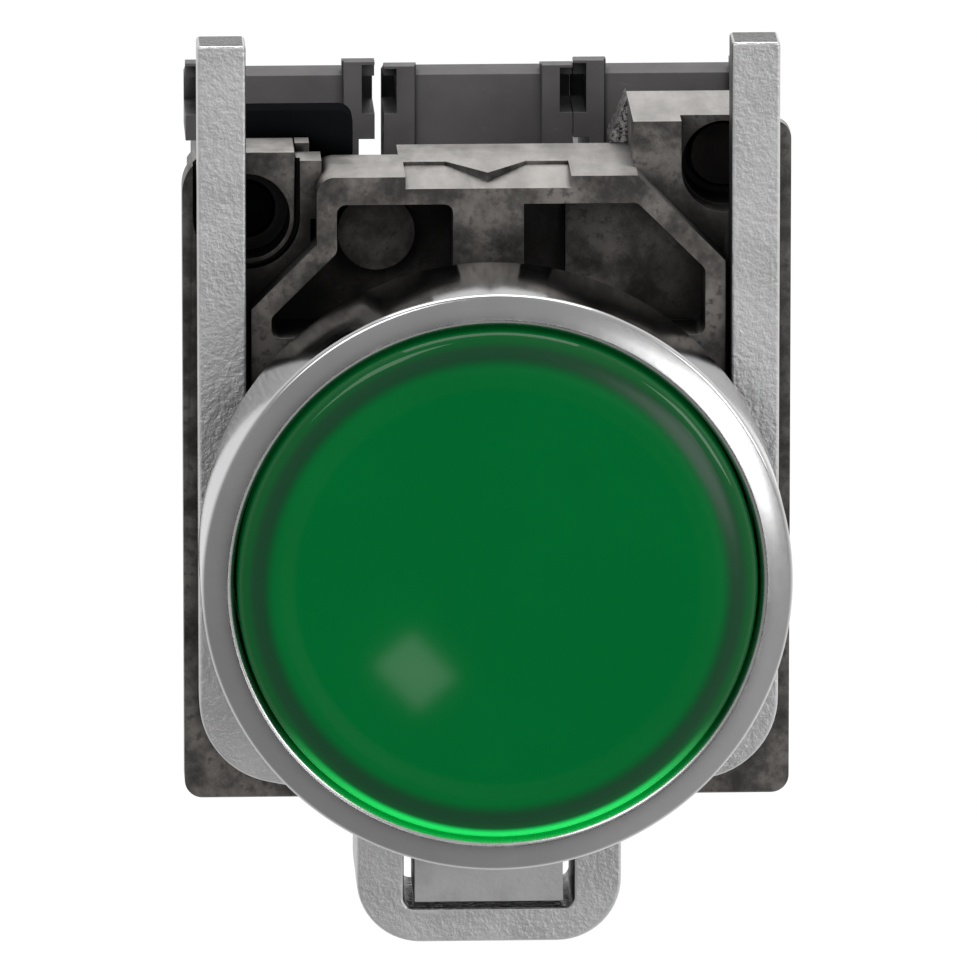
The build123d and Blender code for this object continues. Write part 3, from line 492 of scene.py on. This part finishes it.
def lens_finish():
    """Clear green plastic over a pale diffuser, with a painted shadow over the diffuser's edge, a
    darker rim, a painted glow throughout and a painted highlight low in the rim.
    """
    finish = Finish("green_lens_plastic")
    finish.set(Coat_Weight=0.6, Specular_IOR_Level=0.0)
    disc = tuple(colours().lens)
    shadow = tuple(colours().lens_shadow)
    glow = tuple(colours().lens_glow)
    radius = finish.radius()
    cloud = finish.noise(scale=120, detail=3)
    body = finish.mix(finish.span(cloud, 0.35, 0.65), shade(disc, 0.95), disc)
    # Painted shadow: a darker green band over the edge of the diffuser
    inner = finish.span(radius, *LENS_SHADED)
    outer = finish.span(radius, *LENS_RIM)
    ringed = finish.mix(inner, body, shadow)
    rimmed = finish.mix(outer, ringed, shade(disc, 0.66))
    # Painted highlight: bright green low in the rim, where light through the lens gathers
    height = finish.axes(finish.place)["Z"]
    low = finish.span(finish.maths("DIVIDE", height, radius), -0.5, -0.99)
    softened = finish.span(radius, *LENS_SATIN, 0.045, 0.17)
    crisp = finish.span(radius, *LENS_CLEAR, 0.0, -0.13)
    coat = finish.maths("ADD", softened, crisp)
    finish.link(coat, finish.shader.inputs["Coat Roughness"])
    edge = finish.span(radius, *LENS_GATHERING)
    gathered = finish.maths("MULTIPLY", low, edge)
    colour = finish.mix(gathered, rimmed, glow)
    # Painted glow: the lens gives off light in its own colours, standing in for the light that
    # passes through it
    finish.link(colour, finish.shader.inputs["Emission Color"])
    finish.set(Emission_Strength=0.5)
    fine = finish.noise(scale=900, detail=2)
    roughness = finish.span(fine, *NOISE_MIDDLE, 0.3, 0.36)
    return finish.paint(colour, roughness, finish.bump(fine, LENS_RELIEF))


def plastic_finish(name, tint, low, high, grain, gloss=0.4):
    """Moulded plastic with a fine grain, faint clouding, scuffs and painted shade in its corners.
    """
    finish = Finish(name)
    finish.set(Specular_IOR_Level=gloss)
    cloud = finish.noise(scale=260, detail=4)
    fine = finish.noise(scale=5200, detail=2)
    scuffs = finish.noise(scale=700, detail=5, roughness=0.7, stretch=(1.0, 0.3, 3.0))
    mottled = finish.mix(finish.span(cloud, *NOISE_MIDDLE), shade(tint, 0.85), shade(tint, 1.12))
    scuffed = finish.mix(finish.span(scuffs, 0.62, 0.8), mottled, shade(tint, 1.5))
    # Painted shade: the colour darkens in corners and hollows
    shade_mask = finish.span(finish.crevices(PLASTIC_SHADE_REACH), 0.35, 0.8)
    colour = finish.mix(shade_mask, shade(tint, 0.06), scuffed)
    roughness = finish.span(scuffs, 0.3, 0.75, low, high)
    return finish.paint(colour, roughness, finish.bump(fine, grain))


def metal_finish(name, tint, low, high, stretch=(1.0, 1.0, 1.0)):
    """Plated or bare metal with drawn marks and slight tarnish."""
    finish = Finish(name)
    finish.set(Metallic=1.0)
    cloud = finish.noise(scale=500, detail=4)
    marks = finish.noise(scale=3200, detail=3, stretch=stretch)
    colour = finish.mix(finish.span(cloud, 0.35, 0.68), shade(tint, 0.7), tint)
    roughness = finish.span(marks, *NOISE_MIDDLE, low, high)
    return finish.paint(colour, roughness, finish.bump(marks, METAL_RELIEF))


def rubber_finish():
    """Matt black rubber with dust in its pores."""
    finish = Finish("black_rubber")
    finish.set(Specular_IOR_Level=0.25)
    pores = finish.noise(scale=3000, detail=3)
    dust = finish.noise(scale=400, detail=5)
    colour = finish.mix(finish.span(dust, 0.45, 0.75), RUBBER, RUBBER_DUST)
    roughness = finish.span(pores, *NOISE_MIDDLE, 0.7, 0.85)
    return finish.paint(colour, roughness, finish.bump(pores, RUBBER_RELIEF))


def resin_finish():
    """Clear resin of the light-emitting diode, slightly clouded."""
    finish = Finish("clear_resin")
    finish.set(Transmission_Weight=0.6, IOR=1.5)
    cloud = finish.noise(scale=900, detail=3)
    colour = finish.mix(finish.span(cloud, *NOISE_MIDDLE), RESIN_CLOUD, RESIN_CLEAR)
    return finish.paint(colour, finish.span(cloud, *NOISE_MIDDLE, 0.05, 0.15))


# Shapes


def body_of(node):
    """The moving body that carries a CAD node."""
    for body, members in frame["record"]["behaviour"]["bodies"].items():
        if node in members:
            return body
    raise ValueError(f"no body carries {node}")


def dress(obj, material):
    """Give an object one finish."""
    obj.data.materials.clear()
    obj.data.materials.append(material)


def put(obj, node, material):
    """Hang a piece in the frame in place of a CAD node, with its finish."""
    dress(obj, material)
    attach(obj, body_of(node))
    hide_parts(node)


def turned(name, profile, segments):
    """A closed ring or disc turned about the Y axis from (radius, y) points in metres."""
    shape = bmesh.new()
    rows = []
    for radius, y in profile:
        row = []
        for step in range(segments if radius > 0 else 1):
            angle = 2 * math.pi * step / segments
            place = (radius * math.cos(angle), y, radius * math.sin(angle))
            row.append(shape.verts.new(place))
        rows.append(row)
    closed = len(rows[0]) > 1 and len(rows[-1]) > 1
    pairs = list(zip(rows, rows[1:])) + ([(rows[-1], rows[0])] if closed else [])
    for first, second in pairs:
        for step in range(segments):
            after = (step + 1) % segments
            corners = [first[step % len(first)], first[after % len(first)]]
            corners += [second[after % len(second)], second[step % len(second)]]
            unique = list(dict.fromkeys(corners))
            if len(unique) > 2:
                shape.faces.new(unique)
    bmesh.ops.recalc_face_normals(shape, faces=shape.faces)
    mesh = bpy.data.meshes.new(name)
    shape.to_mesh(mesh)
    shape.free()
    mesh.shade_smooth()
    obj = bpy.data.objects.new(name, mesh)
    bpy.context.scene.collection.objects.link(obj)
    return obj


def sharpen(mesh, degrees):
    """Shade a mesh smooth, with edges steeper than this angle kept crisp."""
    mesh.shade_smooth()
    mesh.set_sharp_from_angle(angle=math.radians(degrees))


def arc(centre, radius, start, end, steps):
    """Points on an arc in a profile, between two angles in degrees."""
    points = []
    for step in range(steps + 1):
        angle = math.radians(start + (end - start) * step / steps)
        across, along = radius * math.cos(angle), radius * math.sin(angle)
        points.append((centre[0] + across, centre[1] + along))
    return points


def eased(node, name, width):
    """A copy of a CAD node with slightly rounded edges, for one that keeps its shape."""
    mesh = frame["nodes"][node].data.copy()
    obj = bpy.data.objects.new(name, mesh)
    bpy.context.scene.collection.objects.link(obj)
    shape = bmesh.new()
    shape.from_mesh(mesh)
    bmesh.ops.remove_doubles(shape, verts=shape.verts, dist=WELD_DISTANCE)
    bmesh.ops.dissolve_limit(
        shape, angle_limit=math.radians(FLAT_ANGLE), verts=shape.verts, edges=shape.edges
    )
    shape.to_mesh(mesh)
    shape.free()
    sharpen(mesh, MOULDED_CRISP)
    bevel = obj.modifiers.new("edges", "BEVEL")
    bevel.width = width
    bevel.segments = EASED_SEGMENTS
    bevel.limit_method = "ANGLE"
    bevel.angle_limit = math.radians(MOULDED_CRISP)
    bevel.harden_normals = True
    depsgraph = bpy.context.evaluated_depsgraph_get()
    rounded = bpy.data.meshes.new_from_object(obj.evaluated_get(depsgraph))
    obj.modifiers.clear()
    obj.data = rounded
    return obj


# Operators, one for each piece or group of like pieces


class BUTTON_OT_bezel(bpy.types.Operator):
    """Turn the chromed bezel from its profile."""

    bl_idname = "button.bezel"
    bl_label = "Bezel"

    def execute(self, context):
        low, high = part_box("bezel")
        outer, rear, front = high.x, high.y, low.y
        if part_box("head_body")[1].x > outer:
            raise ValueError("the barrel is wider than the bezel")
        edge, lip, tilt = sizes().bezel_edge, sizes().bezel_lip, sizes().bezel_tilt
        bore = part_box("lens_cap")[1].x + LENS_GAP
        shelf = rear - BEZEL_WEB
        slant = math.radians(tilt)
        start = bore + lip + lip * math.sin(slant)
        cone = front + lip - lip * math.cos(slant)
        side = outer - edge
        corner = cone + math.tan(slant) * (side - start) + edge / math.cos(slant)
        profile = [(outer, rear)]
        profile += arc((side, corner), edge, 0, tilt - 90, BEZEL_EDGE_STEPS)
        profile += arc((bore + lip, front + lip), lip, tilt - 90, -180, BEZEL_LIP_STEPS)
        profile += [(bore, shelf), (BEZEL_HOLE, shelf), (BEZEL_HOLE, rear)]
        obj = turned("chrome_bezel_ring", profile, sizes().ring_segments)
        sharpen(obj.data, BEZEL_CRISP)
        put(obj, "bezel", chrome_finish())
        return {"FINISHED"}


class BUTTON_OT_lens(bpy.types.Operator):
    """Turn the green lens with its rounded rim and dished face."""

    bl_idname = "button.lens"
    bl_label = "Lens"

    def execute(self, context):
        low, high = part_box("lens_cap")
        rim, dish = sizes().lens_rim, sizes().lens_dish
        outer = high.x
        skirt = outer - LENS_SKIRT
        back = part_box("light_diffuser")[0].y
        turn = math.radians(LENS_TURN)
        soft = LENS_SOFT_EDGE
        crest = outer - rim * (1 - math.sin(turn)) - soft * math.sin(turn)
        entry = math.atan(2 * dish / crest)
        face = crest - soft * math.sin(entry)
        sink = soft * (1 - math.cos(entry))
        profile = []
        for step in range(DISH_STEPS):
            share = step / DISH_STEPS
            profile.append((face * share, low.y + sink + dish * (1 - share**2)))
        left = -90 - math.degrees(entry)
        right = -90 + math.degrees(turn)
        profile += arc((crest, low.y + soft), soft, left, right, SOFT_EDGE_STEPS)
        rounded = low.y + soft - (soft - rim) * math.cos(turn)
        profile += arc((outer - rim, rounded), rim, right, 0, RIM_STEPS)
        profile += [(outer, high.y), (skirt, high.y), (skirt, back), (0, back)]
        obj = turned("green_lens", profile, sizes().ring_segments)
        sharpen(obj.data, LENS_CRISP)
        put(obj, "lens_cap", lens_finish())
        return {"FINISHED"}


class BUTTON_OT_castings(bpy.types.Operator):
    """Ease the edges of the collar, clamp plate and bush and give them their finishes."""

    bl_idname = "button.castings"
    bl_label = "Castings"

    def execute(self, context):
        stained = casting_finish()
        edge = sizes().cast_edge
        put(eased("fixing_collar", "cast_collar", edge), "fixing_collar", stained)
        put(eased("lever_bush", "cast_bush", edge * BUSH_EDGE), "lever_bush", stained)
        put(eased("clamp_yoke", "clamp_plate", edge * CLAMP_EDGE), "clamp_yoke", clamp_finish())
        dress(frame["nodes"]["head_body"], stained)
        return {"FINISHED"}


class BUTTON_OT_blocks(bpy.types.Operator):
    """Ease the edges of the electrical blocks and finish their plastics."""

    bl_idname = "button.blocks"
    bl_label = "Blocks"

    def execute(self, context):
        tint = tuple(colours().block)
        grey = plastic_finish("block_grey_plastic", tint, 0.38, 0.55, MOULDED_RELIEF)
        dark = plastic_finish("cover_dark_plastic", COVER_PLASTIC, 0.4, 0.55, MOULDED_RELIEF)
        edge = sizes().moulded_edge
        for part in ("left_contact", "right_contact", "lamp"):
            put(eased(f"{part}_housing", f"{part}_shell", edge), f"{part}_housing", grey)
            put(eased(f"{part}_cover", f"{part}_back", edge), f"{part}_cover", dark)
        return {"FINISHED"}


class BUTTON_OT_lever(bpy.types.Operator):
    """Ease the edges of the black locking lever."""

    bl_idname = "button.lever"
    bl_label = "Locking Lever"

    def execute(self, context):
        tint = tuple(colours().pad)
        black = plastic_finish("lever_black_plastic", tint, 0.5, 0.6, SMOOTH_RELIEF, gloss=0.0)
        piece = eased("locking_lever", "black_lever", sizes().moulded_edge * LEVER_EDGE)
        put(piece, "locking_lever", black)
        return {"FINISHED"}


class BUTTON_OT_springs(bpy.types.Operator):
    """Copy the coil springs and give them their steel finish."""

    bl_idname = "button.springs"
    bl_label = "Springs"

    def execute(self, context):
        steel = metal_finish("spring_steel", PLATED_STEEL, 0.25, 0.42)
        joints = {
            "return_spring": "button_press",
            "left_contact_spring": "left_plunger_travel",
            "right_contact_spring": "right_plunger_travel",
        }
        for node, joint in joints.items():
            coil = bpy.data.objects.new(f"{node}_coil", frame["nodes"][node].data.copy())
            context.scene.collection.objects.link(coil)
            put(coil, node, steel)
            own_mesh(coil)
        return {"FINISHED"}


class BUTTON_OT_fittings(bpy.types.Operator):
    """Finish the small parts that keep their CAD shapes."""

    bl_idname = "button.fittings"
    bl_label = "Fittings"

    def execute(self, context):
        steel = metal_finish("plated_steel", PLATED_STEEL, 0.25, 0.42)
        dark_steel = metal_finish("dark_steel", BLACKENED_STEEL, 0.4, 0.55, (1.0, 4.0, 1.0))
        brass = metal_finish("contact_brass", BRASS, 0.25, 0.4, (1.0, 1.0, 4.0))
        white = plastic_finish("diffuser_white_plastic", WHITE_PLASTIC, 0.4, 0.55, SMOOTH_RELIEF)
        black = plastic_finish("pusher_black_plastic", BLACK_PLASTIC, 0.35, 0.5, SMOOTH_RELIEF)
        board = plastic_finish("board_green_lacquer", BOARD_LACQUER, 0.25, 0.4, SMOOTH_RELIEF)
        finishes = {
            "panel_gasket": rubber_finish(),
            "light_diffuser": white,
            "pusher": black,
            "retaining_ring": steel,
            "clamp_screw": dark_steel,
            "lamp_board": board,
            "lamp_diode": resin_finish(),
            "lamp_upper_terminal": brass,
            "lamp_lower_terminal": brass,
            "lamp_terminal_screws": steel,
            "lamp_terminal_clamps": steel,
        }
        finishes["pusher_seal"] = finishes["panel_gasket"]
        for side in ("left", "right"):
            finishes.update(
                {
                    f"{side}_contact_plunger": white,
                    f"{side}_contact_bridge": brass,
                    f"{side}_upper_contact": brass,
                    f"{side}_lower_contact": brass,
                    f"{side}_terminal_screws": steel,
                    f"{side}_terminal_clamps": steel,
                }
            )
        for node, material in finishes.items():
            dress(frame["nodes"][node], material)
        return {"FINISHED"}


def lamp(name, place, target, size, power, roll):
    """A soft area lamp aimed at a point, rolled by some degrees, hidden from the camera."""
    data = bpy.data.lights.new(name, "AREA")
    data.shape = "RECTANGLE"
    data.size, data.size_y = size
    data.energy = power
    obj = bpy.data.objects.new(name, data)
    obj.location = place
    aim = (Vector(target) - Vector(place)).to_track_quat("-Z", "Y")
    obj.rotation_euler = (aim @ Quaternion((0.0, 0.0, 1.0), math.radians(roll))).to_euler()
    obj.visible_camera = False
    bpy.context.scene.collection.objects.link(obj)


def studio_world():
    """White backdrop for the camera, and a graded room that shiny surfaces mirror."""
    world = bpy.data.worlds.new("white_studio")
    world.use_nodes = True
    tree = world.node_tree
    tree.nodes.clear()

    def step(kind, output, inputs, **settings):
        """The used output of a new node, fed with sockets or constants."""
        node = tree.nodes.new(kind)
        for key, value in settings.items():
            setattr(node, key, value)
        for key, value in inputs.items():
            if isinstance(value, bpy.types.NodeSocket):
                tree.links.new(value, node.inputs[key])
            else:
                node.inputs[key].default_value = value
        return node.outputs[output]

    def graded(value, low, high, to_low, to_high):
        """Value mapped smoothly from one range to another."""
        ranges = {"Value": value, "From Min": low, "From Max": high}
        ranges.update({"To Min": to_low, "To Max": to_high})
        return step("ShaderNodeMapRange", "Result", ranges, interpolation_type="SMOOTHSTEP")

    def sum_of(first, second):
        """Sum of two values."""
        return step("ShaderNodeMath", "Value", {0: first, 1: second}, operation="ADD")

    way = step("ShaderNodeTexCoord", "Generated", {})
    split = tree.nodes.new("ShaderNodeSeparateXYZ")
    tree.links.new(way, split.inputs["Vector"])
    room = graded(split.outputs["Y"], *ROOM_DEPTH)
    right = graded(split.outputs["X"], *ROOM_RIGHT)
    upper = graded(split.outputs["Z"], *ROOM_UPPER)
    apart = {0: way, 1: MIRROR_WAY}
    off = step("ShaderNodeVectorMath", "Value", apart, operation="DISTANCE")
    hollow = graded(off, *ROOM_HOLLOW)
    walls = sum_of(sum_of(room, right), upper)
    mirrored = step("ShaderNodeMath", "Value", {0: walls, 1: hollow}, operation="MULTIPLY")
    path = tree.nodes.new("ShaderNodeLightPath")
    shiny = {0: path.outputs["Is Glossy Ray"], 1: path.outputs["Is Transmission Ray"]}
    seen = step("ShaderNodeMath", "Value", shiny, operation="MAXIMUM")
    lit = {"Factor": seen, "A": ROOM_DIFFUSE, "B": mirrored}
    level = step("ShaderNodeMix", "Result", lit, data_type="FLOAT")
    backdrop = {"Factor": path.outputs["Is Camera Ray"], "A": level, "B": 1.0}
    final = step("ShaderNodeMix", "Result", backdrop, data_type="FLOAT")
    colour = {"Color": WHITE, "Strength": final}
    background = step("ShaderNodeBackground", "Background", colour)
    output = tree.nodes.new("ShaderNodeOutputWorld")
    tree.links.new(background, output.inputs["Surface"])
    bpy.context.scene.world = world


def floor_finish():
    """Pale floor that reads white to the camera and keeps a soft shadow."""
    material = bpy.data.materials.new("pale_floor")
    material.use_nodes = True
    tree = material.node_tree
    shader = tree.nodes["Principled BSDF"]
    shader.inputs["Base Color"].default_value = FLOOR_PALE
    shader.inputs["Roughness"].default_value = FLOOR_ROUGHNESS
    glow = tree.nodes.new("ShaderNodeEmission")
    glow.inputs["Strength"].default_value = FLOOR_GLOW
    blend = tree.nodes.new("ShaderNodeMixShader")
    share = tree.nodes.new("ShaderNodeMath")
    share.operation = "MULTIPLY"
    share.inputs[1].default_value = FLOOR_GLOW_SHARE
    path = tree.nodes.new("ShaderNodeLightPath")
    tree.links.new(path.outputs["Is Camera Ray"], share.inputs[0])
    tree.links.new(share.outputs["Value"], blend.inputs["Fac"])
    tree.links.new(shader.outputs["BSDF"], blend.inputs[1])
    tree.links.new(glow.outputs["Emission"], blend.inputs[2])
    tree.links.new(blend.outputs["Shader"], tree.nodes["Material Output"].inputs["Surface"])
    return material


class BUTTON_OT_stage(bpy.types.Operator):
    """Lay the floor, hang the lamps and aim the camera."""

    bl_idname = "button.stage"
    bl_label = "Stage"

    def execute(self, context):
        scene = context.scene
        scene.view_settings.view_transform = "Standard"
        studio_world()

        mesh = bpy.data.meshes.new("floor")
        turns = ((-1, -1), (1, -1), (1, 1), (-1, 1))
        corners = [(x * FLOOR_REACH, y * FLOOR_REACH, FLOOR_LEVEL) for x, y in turns]
        mesh.from_pydata(corners, [], [(0, 1, 2, 3)])
        floor = bpy.data.objects.new("floor", mesh)
        dress(floor, floor_finish())
        floor.visible_glossy = False
        scene.collection.objects.link(floor)

        for name, settings in LAMPS.items():
            lamp(name, *settings)

        forward = Vector(CAMERA_FORWARD).normalized()
        right = Vector(CAMERA_RIGHT).normalized()
        up = right.cross(forward)
        aim = Vector(CAMERA_AIM) + up * CAMERA_SHIFT_UP - right * CAMERA_SHIFT_LEFT
        data = bpy.data.cameras.new("photo_camera")
        data.sensor_width = CAMERA_SENSOR
        data.lens = CAMERA_LENS
        data.clip_start, data.clip_end = CAMERA_CLIP
        camera = bpy.data.objects.new("photo_camera", data)
        camera.location = aim - forward * CAMERA_DISTANCE
        camera.rotation_euler = forward.to_track_quat("-Z", "Y").to_euler()
        scene.collection.objects.link(camera)
        scene.camera = camera
        return {"FINISHED"}


OPERATORS = (
    BUTTON_OT_stage,
    BUTTON_OT_bezel,
    BUTTON_OT_lens,
    BUTTON_OT_castings,
    BUTTON_OT_blocks,
    BUTTON_OT_lever,
    BUTTON_OT_springs,
    BUTTON_OT_fittings,
)


class BUTTON_PT_panel(bpy.types.Panel):
    """Sidebar panel with the settings and the steps of the build."""

    bl_idname = "BUTTON_PT_panel"
    bl_label = "Push Button"
    bl_space_type = "VIEW_3D"
    bl_region_type = "UI"
    bl_category = "Push Button"

    def draw(self, context):
        for group in (context.scene.button_sizes, context.scene.button_colours):
            for name in group.bl_rna.properties.keys():
                if name not in ("rna_type", "name"):
                    self.layout.prop(group, name)
        for operator in OPERATORS:
            self.layout.operator(operator.bl_idname)


CLASSES = (BUTTON_PG_sizes, BUTTON_PG_colours, *OPERATORS, BUTTON_PT_panel)


def register():
    """Register the classes and hang the settings on the scene."""
    for cls in CLASSES:
        bpy.utils.register_class(cls)
    bpy.types.Scene.button_sizes = PointerProperty(type=BUTTON_PG_sizes)
    bpy.types.Scene.button_colours = PointerProperty(type=BUTTON_PG_colours)


def unregister():
    """Remove the settings and the classes."""
    del bpy.types.Scene.button_colours
    del bpy.types.Scene.button_sizes
    for cls in reversed(CLASSES):
        bpy.utils.unregister_class(cls)


def main():
    """Build every piece in order."""
    register()
    for operator in OPERATORS:
        group, name = operator.bl_idname.split(".")
        getattr(getattr(bpy.ops, group), name)()


if __name__ == "__main__":
    main()
